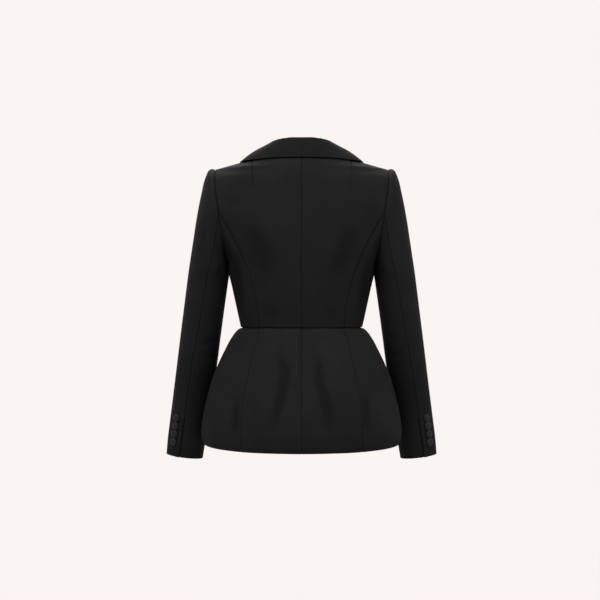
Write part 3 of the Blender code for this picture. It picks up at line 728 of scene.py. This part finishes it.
SLEEVE_CREASES = {
    "left": (
        ("back", 9, 1.3, (12, 160), (12.3, 118), (12.25, 84)),
        ("back", 8, 1, (12.8, 168), (12.75, 124), (12.6, 92)),
        ("back", 10, 1.2, (11.2, 172), (11.5, 140)),
        ("back", 13, 0.9, (5.5, 58), (7.5, 64), (9.6, 61)),
        ("back", 8, 0.7, (14.7, 148), (14.9, 104)),
        ("back", 9, 1.4, (8.4, 142), (9.4, 112)),
        ("front", 9, 1.4, (12.1, -150), (12.5, -110), (12.5, -60)),
        ("front", 8, 1.1, (12.7, -165), (12.9, -120)),
        ("front", 12, 1, (6, -70), (8, -66), (9.8, -70)),
    ),
    "right": (
        ("back", 9, 1.2, (11.8, 164), (12.1, 126), (12.2, 96)),
        ("back", 8, 1.2, (12.6, 172), (12.7, 132), (12.5, 80)),
        ("back", 9, 0.8, (13.3, 165), (13.4, 128)),
        ("back", 12, 0.8, (5, 66), (7.2, 60), (9.2, 66)),
        ("back", 8, 0.7, (15.2, 152), (15.3, 110)),
        ("back", 10, 1.2, (8.6, 150), (9.2, 118)),
        ("front", 9, 1.3, (12.3, -146), (12.4, -108), (12.2, -70)),
        ("front", 9, 1.2, (11.5, -160), (11.8, -118)),
        ("front", 13, 0.9, (5.6, -62), (7.6, -70), (9.4, -64)),
    ),
}
# The dart in the back shoulder: it starts under the collar and ends above the blade. Its welts
# lie beside it, and it fades out over the last share of its length.
DART = dict(top=(106.0, -12.0), end=(100.5, -77.0), depth=1.9, width=1.15, fade=0.15)
DART_WELT = dict(height=0.2, at=2.6, width=1.6)
# The back's columns across the dart, as shares of its width, and the gap to the next ones.
DART_COLUMNS = np.linspace(0.538, 0.582, 15)
DART_GAP = 0.004
# The cuff's vent: from its top down the upper sleeve's edge lies over the under sleeve's.
VENT = dict(top=-556.0, fade=8.0, step=1.9, reach=11.0, slope=3.0, rounding=0.6)
VENT_UNDER = dict(depth=0.4, reach=6.0, slope=4.0)
TUCK = 2.6

# The length of a cell, and each kind of piece's size down and across, to be shared into cells.
CELL = 3.4
COLLAR_CELL = 2.4
COLLAR_ROUND = 95.0
COLLAR_TURNS = 75
SIZES = dict(
    back=(-WAIST, SHOULDER_HALF),
    side=(200, 330),
    front=(-WAIST, 170),
    peplum_back=(262, 135),
    peplum_side=(262, 270),
    peplum_front=(262, 165),
    sleeve_upper=(SLEEVE_LENGTH, 215),
    sleeve_under=(SLEEVE_LENGTH, 150),
    lapel=(200, 90),
)
# Points that lie inside the forms, from which their cloth faces outward.
BODY_MIDDLE = np.array([0, 0, -200])
SIDE_MIDDLE = np.array([60, 0, -250])
PEPLUM_MIDDLE = np.array([0, 0, -700])
COLLAR_MIDDLE = np.zeros(3)
LAPEL_MIDDLE = np.array([0, 0, -150])
# Which edges of a piece are sewn and which are free.
SEWN = ("seam",) * 4
OPEN_FRONT = ("seam", "seam", "free", "seam")
OPEN_HEM = ("seam", "free", "seam", "seam")
OPEN_HEM_AND_FRONT = ("seam", "free", "free", "seam")
FREE = ("free",) * 4


def dart(points, _):
    """The groove of the shoulder dart and the welts beside it, on the back alone."""
    (x0, z0), (x1, z1) = DART["top"], DART["end"]
    share = (points[..., 2] - z0) / (z1 - z0)
    away = np.abs(points[..., 0]) - (x0 + (x1 - x0) * share)
    beside = (np.abs(away) - DART_WELT["at"]) / DART_WELT["width"]
    welt = DART_WELT["height"] * np.exp(-(beside**2))
    line = welt - DART["depth"] * np.exp(-((away / DART["width"]) ** 2))
    fade = limited((1.0 - share) / DART["fade"])
    return np.where(points[..., 1] > 0, line * fade, 0.0)


def below_vent(points):
    """0 above the vent and 1 beside it."""
    return limited((VENT["top"] - points[..., 2]) / VENT["fade"])


def vent_lap(points, distances):
    """The upper sleeve's edge at the vent lies over the under sleeve, as a small step."""
    edge = distances[3]
    lift = VENT["step"] * limited((VENT["reach"] - edge) / VENT["slope"])
    unsunk = -seam_dip(edge) - edge_round(edge) * VENT["rounding"]
    return below_vent(points) * (lift + unsunk)


def vent_under(points, distances):
    """The under sleeve's edge at the vent lies a little lower."""
    near = limited((VENT_UNDER["reach"] - distances[2]) / VENT_UNDER["slope"])
    return -VENT_UNDER["depth"] * below_vent(points) * near


def grid_lines(kind):
    down, across = SIZES[kind]
    return graded(down, CELL), graded(across, CELL)


def bodice_point(x, level, side, _):
    return x, body_y(x, level, side), level


def peplum_point(x, level, side, away):
    return x, peplum_form(np.abs(x), level, side, away), level


def sleeve_point(ring, degrees, *_):
    return sleeve_at(ring, degrees)


def halves(creases, place):
    """The left half, then the right: its name, its sign, how its points turn and its creases."""
    for name, sign in HALVES:
        turn = np.asarray if sign > 0 else mirrored
        made = []
        for side, width, depth, *points in creases[name]:
            across, down = np.array(points, float).T
            line = np.stack(place(across, down, side, sign), -1)
            made.append((turn(line), width, depth))
        yield name, sign, turn, made


def back_lines():
    """The rows and columns of the back, with closer columns across the dart."""
    rows, columns = grid_lines("back")
    clear = (columns < DART_COLUMNS[0] - DART_GAP) | (columns > DART_COLUMNS[-1] + DART_GAP)
    return rows, np.sort(np.concatenate([columns[clear], DART_COLUMNS]))


def make_bodice(cloth):
    for name, sign, turn, creases in halves(BODY_CREASES, bodice_point):
        points = turn(grid(*back_lines(), back_at))
        shell("back_" + name, points, BODY_MIDDLE, SEWN, cloth, creases, dart)
        points = turn(grid(*grid_lines("side"), side_at))
        shell("side_" + name, points, turn(SIDE_MIDDLE), SEWN, cloth, creases)
        points = turn(grid(*grid_lines("front"), front_at, front_lift(sign)))
        shell("front_" + name, points, BODY_MIDDLE, OPEN_FRONT, cloth, creases)


def make_peplum(cloth):
    for name, sign, turn, creases in halves(PEPLUM_CREASES, peplum_point):
        for kind, place, more, edges in (
            ("peplum_back", peplum_back_at, (sign,), OPEN_HEM),
            ("peplum_side", peplum_side_at, (sign,), OPEN_HEM),
            ("peplum_front", peplum_front_at, (sign, front_lift(sign)), OPEN_HEM_AND_FRONT),
        ):
            points = turn(grid(*grid_lines(kind), place, *more))
            shell(f"{kind}_{name}", points, PEPLUM_MIDDLE, edges, cloth, creases, None, TUCK)


def sleeve_core(rows, sign):
    """The middle of the sleeve at each row."""
    ring = np.interp(rows * SLEEVE_LENGTH, RING_RUN, RINGS)
    x = (SLEEVE.at("outer_x", ring) + SLEEVE.at("inner_x", ring)) / 2 * sign
    z = (SLEEVE.at("outer_z", ring) + SLEEVE.at("inner_z", ring)) / 2
    return np.stack([x, SLEEVE.at("middle", ring), z], -1)[:, None, :]


def make_sleeves(cloth):
    for name, sign, turn, creases in halves(SLEEVE_CREASES, sleeve_point):
        for kind, seams, vent in (
            ("sleeve_upper", (("front", 0.0), ("back", 0.0)), vent_lap),
            ("sleeve_under", (("back", 0.0), ("front", 360.0)), vent_under),
        ):
            rows, columns = grid_lines(kind)
            points = turn(grid(rows, columns, sleeve_piece_at, *seams))
            core = sleeve_core(rows, sign)
            shell(f"{kind}_{name}", points, core, OPEN_HEM, cloth, creases, vent, TUCK)


def make_collar(cloth):
    half = collar_profiles(np.linspace(0.0, 1.0, COLLAR_TURNS))
    whole = np.concatenate([mirrored(half[::-1]), half[1:]])
    points = spaced(rounded(whole, 4), graded(COLLAR_ROUND, COLLAR_CELL))
    shell("collar", points, COLLAR_MIDDLE, FREE, cloth)
    for name, sign in HALVES:
        points = lapel_points(*grid_lines("lapel"), sign)
        points = points if sign > 0 else mirrored(points)
        shell("lapel_" + name, points, LAPEL_MIDDLE, FREE, cloth)


def plain_mesh(name, points, faces, finish):
    mesh = bpy.data.meshes.new(name)
    mesh.from_pydata((np.asarray(points) * MM).tolist(), [], faces)
    return linked(name, mesh, finish)


BUTTON_SIDES = 48
# The cover is gathered under the button: how many folds, how deep, and how far up the rim.
GATHERS = dict(count=16, depth=0.035, up_to=0.3)
# Its profile, as shares of its radius and height: the rolled rim, and the dome on from it.
RIM = ((0.55, 0.02), (0.78, 0.04), (0.93, 0.16), (0.99, 0.32), (1.0, 0.46), (0.985, 0.58))
DOME = [(out, 0.6 + 0.4 * math.sqrt(1 - out**2.2)) for out in np.linspace(0.955, 0.08, 12)]


def button(name, seat, out, size, finish):
    """A covered button: a low dome, a rolled rim, and the cover gathered under it."""
    out = unit(out)
    side = unit(np.cross(out, UP))
    up = np.cross(side, out)
    profile = [*RIM, *DOME]
    points = []
    for share, rise in profile:
        under = max(0.0, GATHERS["up_to"] - rise) / GATHERS["up_to"]
        for i in range(BUTTON_SIDES):
            turn = math.tau * i / BUTTON_SIDES
            gather = 1 + GATHERS["depth"] * math.cos(turn * GATHERS["count"]) * under
            spoke = side * math.cos(turn) + up * math.sin(turn)
            reach = size["radius"] * share * gather
            points.append(seat + spoke * reach + out * size["height"] * rise)
    points.append(seat + out * size["height"])
    faces = [tuple(range(BUTTON_SIDES - 1, -1, -1))]
    for ring in range(len(profile) - 1):
        low, high = ring * BUTTON_SIDES, (ring + 1) * BUTTON_SIDES
        for i in range(BUTTON_SIDES):
            j = (i + 1) % BUTTON_SIDES
            faces.append((low + i, low + j, high + j, high + i))
    last = (len(profile) - 1) * BUTTON_SIDES
    top = len(points) - 1
    faces += [(last + i, last + (i + 1) % BUTTON_SIDES, top) for i in range(BUTTON_SIDES)]
    if np.cross(points[0] - seat, points[1] - seat) @ out < 0:
        faces = [face[::-1] for face in faces]
    obj = plain_mesh(name, points, faces, finish)
    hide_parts(name)


THREAD_SIDES = 8
# A buttonhole from its end at the edge to its inner one, half its width, and its thread's radius.
BUTTONHOLE = dict(start=4.0, end=-21.0, half=1.1, thread=0.55, points=72)


def tube(name, path, radius, finish):
    """A closed loop of thread along path."""
    path = np.asarray(path, float)
    way = unit(np.roll(path, -1, axis=0) - np.roll(path, 1, axis=0))
    across = unit(np.cross(way, FORWARD))
    up = np.cross(across, way)
    points, faces = [], []
    for i in range(len(path)):
        j = (i + 1) % len(path)
        for k in range(THREAD_SIDES):
            m = (k + 1) % THREAD_SIDES
            turn = math.tau * k / THREAD_SIDES
            points.append(path[i] + (across[i] * math.cos(turn) + up[i] * math.sin(turn)) * radius)
            here, there = i * THREAD_SIDES, j * THREAD_SIDES
            faces.append((here + k, there + k, there + m, here + m))
    plain_mesh(name, points, faces, finish)


# Close rings over the cuff, and how many of them on shows which way the sleeve runs.
CUFF_RINGS = np.linspace(13.0, LAST_RING, 2001)
CUFF_LOOK = 5


def cuff_seat(level):
    """Where a button sits on the left cuff at a level, and which way it faces."""
    angle = CUFF_BUTTON["angle"]
    line = np.stack(sleeve_at(CUFF_RINGS, np.full_like(CUFF_RINGS, angle)), -1)
    k = int(np.argmin(np.abs(line[:, 2] - level)))
    beside = np.stack(sleeve_at(CUFF_RINGS[k], angle + 1.0))
    out = unit(np.cross(beside - line[k], line[k + CUFF_LOOK] - line[k]))
    out = out if out[0] > 0 else -out
    return line[k] + out * CUFF_BUTTON["seat"], out


def make_cuff_buttons(cover):
    size = CUFF_BUTTON
    for name, sign in HALVES:
        flip = np.array([sign, 1.0, 1.0])
        for i in range(size["count"]):
            seat, out = cuff_seat(size["first"] - size["pitch"] * i)
            button(f"cuff_button_{name}_{i + 1}", seat * flip, out * flip, size, cover)


def make_front_buttons(cover, thread):
    size = FRONT_BUTTON
    for i in range(size["count"]):
        level = size["first"] - size["pitch"] * i
        seat = on_body(0.0, level, "front", OVERLAP_LIFT + size["seat"])
        out = seat - on_body(0.0, level, "front", 0.0)
        button(f"front_button_{i + 1}", seat, out, size, cover)
        make_buttonhole(i + 1, level, thread)


def make_buttonhole(number, level, thread):
    """Stitched thread round a long slot: straight sides, and ends that round off."""
    hole = BUTTONHOLE
    middle = (hole["start"] + hole["end"]) / 2
    reach = hole["start"] - hole["end"] - 2 * hole["half"]
    height = OVERLAP_LIFT + hole["thread"] * 0.5
    path = []
    for k in range(hole["points"]):
        turn = math.tau * k / hole["points"]
        x = middle + math.copysign(reach / 2, math.cos(turn)) * min(1.0, abs(math.cos(turn)) * 3)
        x += hole["half"] * math.cos(turn)
        z = level + hole["half"] * max(-1.0, min(1.0, math.sin(turn) * 1.6))
        path.append(on_body(x, z, "front", height))
    tube(f"buttonhole_{number}", path, hole["thread"], thread)


def node(tree, kind, **inputs):
    made = tree.nodes.new(kind)
    for name, value in inputs.items():
        if hasattr(made, name):
            setattr(made, name, value)
        else:
            made.inputs[name.replace("_", " ")].default_value = value
    return made


def joined(tree, first, second, operation):
    made = node(tree, "ShaderNodeMath", operation=operation)
    for socket, value in zip(made.inputs, (first, second)):
        if isinstance(value, (int, float)):
            socket.default_value = value
        else:
            tree.links.new(value, socket)
    return made.outputs[0]


def shades(tree, fac, low, high):
    """A colour between low and high by fac."""
    ramp = node(tree, "ShaderNodeValToRGB")
    ramp.color_ramp.elements[0].color = (*low, 1.0)
    ramp.color_ramp.elements[1].color = (*high, 1.0)
    ramp.color_ramp.elements[0].position = 0.25
    ramp.color_ramp.elements[1].position = 0.75
    tree.links.new(fac, ramp.inputs[0])
    return ramp.outputs[0]


def bumped(tree, height, strength, distance, under=None):
    made = node(tree, "ShaderNodeBump", Strength=strength, Distance=distance)
    tree.links.new(height, made.inputs["Height"])
    if under is not None:
        tree.links.new(under, made.inputs["Normal"])
    return made.outputs[0]


def new_finish(name, **values):
    """A new material, its tree and its shader, whose sockets are set to the values."""
    made = bpy.data.materials.new(name)
    made.use_nodes = True
    shader = made.node_tree.nodes["Principled BSDF"]
    for socket, value in values.items():
        shader.inputs[socket.replace("_", " ")].default_value = value
    return made, made.node_tree, shader


def feed(tree, shader, colour, rough, normal):
    tree.links.new(colour, shader.inputs["Base Color"])
    tree.links.new(rough, shader.inputs["Roughness"])
    tree.links.new(normal, shader.inputs["Normal"])


def scaled(tree, source, factor, start):
    """A value that starts from start and grows by factor times the source."""
    return joined(tree, joined(tree, source, factor, "MULTIPLY"), start, "ADD")


WOOL_DARK = (0.0037, 0.0037, 0.0040)
WOOL_LIGHT = (0.0092, 0.0092, 0.0095)
# How far the colour in the creases' troughs is pulled dark: painted shade.
PAINTED_SHADE_STRENGTH = 0.6
SATIN_DARK = (0.0036, 0.0036, 0.0039)
SATIN_LIGHT = (0.0056, 0.0056, 0.0060)


def wool(name):
    """Fine wool crepe: crossed threads half a millimetre apart, a pebbled twist, a short nap, and
    painted shade in the creases' troughs.
    """
    sheen = dict(Sheen_Weight=0.004, Sheen_Roughness=0.45, Sheen_Tint=(0.62, 0.62, 0.68, 1.0))
    made, tree, shader = new_finish(name, Specular_IOR_Level=0.03, **sheen)
    place = node(tree, "ShaderNodeUVMap", uv_map="cloth").outputs[0]
    solid = node(tree, "ShaderNodeTexCoord").outputs["Object"]
    warp = node(tree, "ShaderNodeTexWave", bands_direction="X", Scale=5.4, Distortion=0.9)
    weft = node(tree, "ShaderNodeTexWave", bands_direction="Y", Scale=4.8, Distortion=1.1)
    pebble = node(tree, "ShaderNodeTexNoise", Scale=15.0, Detail=3.0, Roughness=0.6)
    nap = node(tree, "ShaderNodeTexNoise", Scale=42.0, Detail=2.0, Roughness=0.5)
    cloud = node(tree, "ShaderNodeTexNoise", Scale=9.0, Detail=3.0, Roughness=0.55)
    for texture in (warp, weft, pebble, nap):
        tree.links.new(place, texture.inputs["Vector"])
    tree.links.new(solid, cloud.inputs["Vector"])
    weave = joined(tree, warp.outputs[1], weft.outputs[1], "MULTIPLY")
    mixed = joined(tree, weave, pebble.outputs[0], "ADD")
    broad = joined(tree, cloud.outputs[0], 0.4, "MULTIPLY")
    fac = joined(tree, joined(tree, mixed, 0.3, "MULTIPLY"), broad, "ADD")
    # Painted shade: the crease troughs' attribute pulls the colour towards the dark end of the ramp.
    painted_shade = node(tree, "ShaderNodeAttribute", attribute_name="painted_shade").outputs["Fac"]
    fac = joined(tree, fac, joined(tree, painted_shade, PAINTED_SHADE_STRENGTH, "MULTIPLY"), "SUBTRACT")
    colour = shades(tree, fac, WOOL_DARK, WOOL_LIGHT)
    rough = scaled(tree, nap.outputs[0], 0.16, 0.68)
    first = bumped(tree, mixed, 0.35, 0.00016)
    second = bumped(tree, nap.outputs[0], 0.25, 0.00008, first)
    feed(tree, shader, colour, rough, bumped(tree, cloud.outputs[0], 0.12, 0.002, second))
    return made


def satin(name):
    """The cover of the buttons: a close satin, a little glossier than the wool."""
    made, tree, shader = new_finish(name, Specular_IOR_Level=0.10, Sheen_Weight=0.01)
    solid = node(tree, "ShaderNodeTexCoord").outputs["Object"]
    threads = node(tree, "ShaderNodeTexWave", bands_direction="Z", Scale=620.0, Distortion=1.5)
    grain = node(tree, "ShaderNodeTexNoise", Scale=900.0, Detail=2.0)
    for texture in (threads, grain):
        tree.links.new(solid, texture.inputs["Vector"])
    colour = shades(tree, grain.outputs[0], SATIN_DARK, SATIN_LIGHT)
    rough = scaled(tree, grain.outputs[0], 0.12, 0.40)
    first = bumped(tree, threads.outputs[1], 0.25, 0.00006)
    feed(tree, shader, colour, rough, bumped(tree, grain.outputs[0], 0.2, 0.00006, first))
    return made


def thread_finish(name):
    """Buttonhole thread: close twisted stitches with a slight lustre."""
    made, tree, shader = new_finish(name, Specular_IOR_Level=0.10)
    solid = node(tree, "ShaderNodeTexCoord").outputs["Object"]
    twist = node(tree, "ShaderNodeTexWave", bands_direction="X", Scale=420.0, Distortion=0.6)
    tree.links.new(solid, twist.inputs["Vector"])
    colour = shades(tree, twist.outputs[1], WOOL_DARK, SATIN_LIGHT)
    rough = scaled(tree, twist.outputs[1], 0.1, 0.5)
    feed(tree, shader, colour, rough, bumped(tree, twist.outputs[1], 0.5, 0.0002))
    return made


# The photo's plain pale ground, as linear light. The floor glows in it, and towards the middle
# half of it takes the jacket's shade.
PALE = (0.956, 0.905, 0.888, 1.0)
FLOOR_MATT = (0.30, 0.285, 0.28, 1.0)
FLOOR_MATT_SHARE = 0.5
FLOOR_LEVEL = -1.45
FLOOR_RADIUS = 2.2
FLOOR_SIDES = 96


def floor_finish():
    finish = bpy.data.materials.new("pale_floor")
    finish.use_nodes = True
    tree = finish.node_tree
    tree.nodes.clear()
    glow = node(tree, "ShaderNodeEmission", Color=PALE)
    matt = node(tree, "ShaderNodeBsdfDiffuse", Color=FLOOR_MATT)
    mix = node(tree, "ShaderNodeMixShader")
    out = node(tree, "ShaderNodeOutputMaterial")
    spot = node(tree, "ShaderNodeTexGradient", gradient_type="SPHERICAL")
    place = node(tree, "ShaderNodeMapping", Scale=(1 / FLOOR_RADIUS, 1 / FLOOR_RADIUS, 0.0))
    solid = node(tree, "ShaderNodeTexCoord").outputs["Object"]
    tree.links.new(solid, place.inputs["Vector"])
    tree.links.new(place.outputs[0], spot.inputs["Vector"])
    share = joined(tree, spot.outputs[1], FLOOR_MATT_SHARE, "MULTIPLY")
    tree.links.new(share, mix.inputs[0])
    tree.links.new(glow.outputs[0], mix.inputs[1])
    tree.links.new(matt.outputs[0], mix.inputs[2])
    tree.links.new(mix.outputs[0], out.inputs[0])
    return finish


def make_stage():
    world = bpy.data.worlds.new("pale_studio")
    bpy.context.scene.world = world
    world.use_nodes = True
    world.node_tree.nodes["Background"].inputs["Color"].default_value = PALE
    turns = [math.tau * i / FLOOR_SIDES for i in range(FLOOR_SIDES)]
    corners = [(FLOOR_RADIUS * math.cos(t), FLOOR_RADIUS * math.sin(t), FLOOR_LEVEL) for t in turns]
    mesh = bpy.data.meshes.new("floor")
    mesh.from_pydata(corners, [], [tuple(range(FLOOR_SIDES))])
    mesh.materials.append(floor_finish())
    floor = bpy.data.objects.new("floor", mesh)
    bpy.context.collection.objects.link(floor)


LIGHT_SIZE = (2.4, 1.4)
LIGHTS = (
    dict(name="key", place=(0.3, 1.7, 2.6), power=173.0),
    dict(name="left_fill", place=(2.8, 1.4, 0.6), power=37.0),
    dict(name="right_fill", place=(-2.8, 1.3, 0.5), power=48.0),
    dict(name="front", place=(0.2, -1.9, 2.4), power=150.0),
)
LIT_MIDDLE = Vector((0.0, 0.0, -0.3))


def make_lights():
    for light in LIGHTS:
        data = bpy.data.lights.new(light["name"], "AREA")
        data.shape = "RECTANGLE"
        data.size, data.size_y = LIGHT_SIZE
        data.energy = light["power"]
        obj = bpy.data.objects.new(light["name"], data)
        obj.location = light["place"]
        aim = LIT_MIDDLE - Vector(light["place"])
        obj.rotation_euler = aim.to_track_quat("-Z", "Y").to_euler()
        bpy.context.collection.objects.link(obj)


# The photo's view: 2.15 mm to a pixel of its 600 at the middle of the jacket, from 2.8 m away.
PHOTO_SIDE = 600
PIXEL = 2.15 * MM
DISTANCE = 2.8
EYE_LEVEL = -0.310
EYE_SIDE = 1.6 * PIXEL
SENSOR = 36.0


def make_camera():
    data = bpy.data.cameras.new("camera")
    data.sensor_width = SENSOR
    data.lens = SENSOR * DISTANCE / (PHOTO_SIDE * PIXEL)
    data.clip_end = 50.0
    camera = bpy.data.objects.new("camera", data)
    camera.location = (EYE_SIDE, DISTANCE, EYE_LEVEL)
    camera.rotation_euler = (math.radians(90), 0.0, math.radians(180))
    bpy.context.collection.objects.link(camera)
    bpy.context.scene.camera = camera


def main():
    bpy.context.scene.view_settings.view_transform = "Standard"
    make_camera()
    make_stage()
    make_lights()
    cloth = wool("black_wool_crepe")
    cover = satin("button_satin")
    thread = thread_finish("buttonhole_thread")
    make_bodice(cloth)
    make_peplum(cloth)
    make_sleeves(cloth)
    make_collar(cloth)
    make_cuff_buttons(cover)
    make_front_buttons(cover, thread)


main()
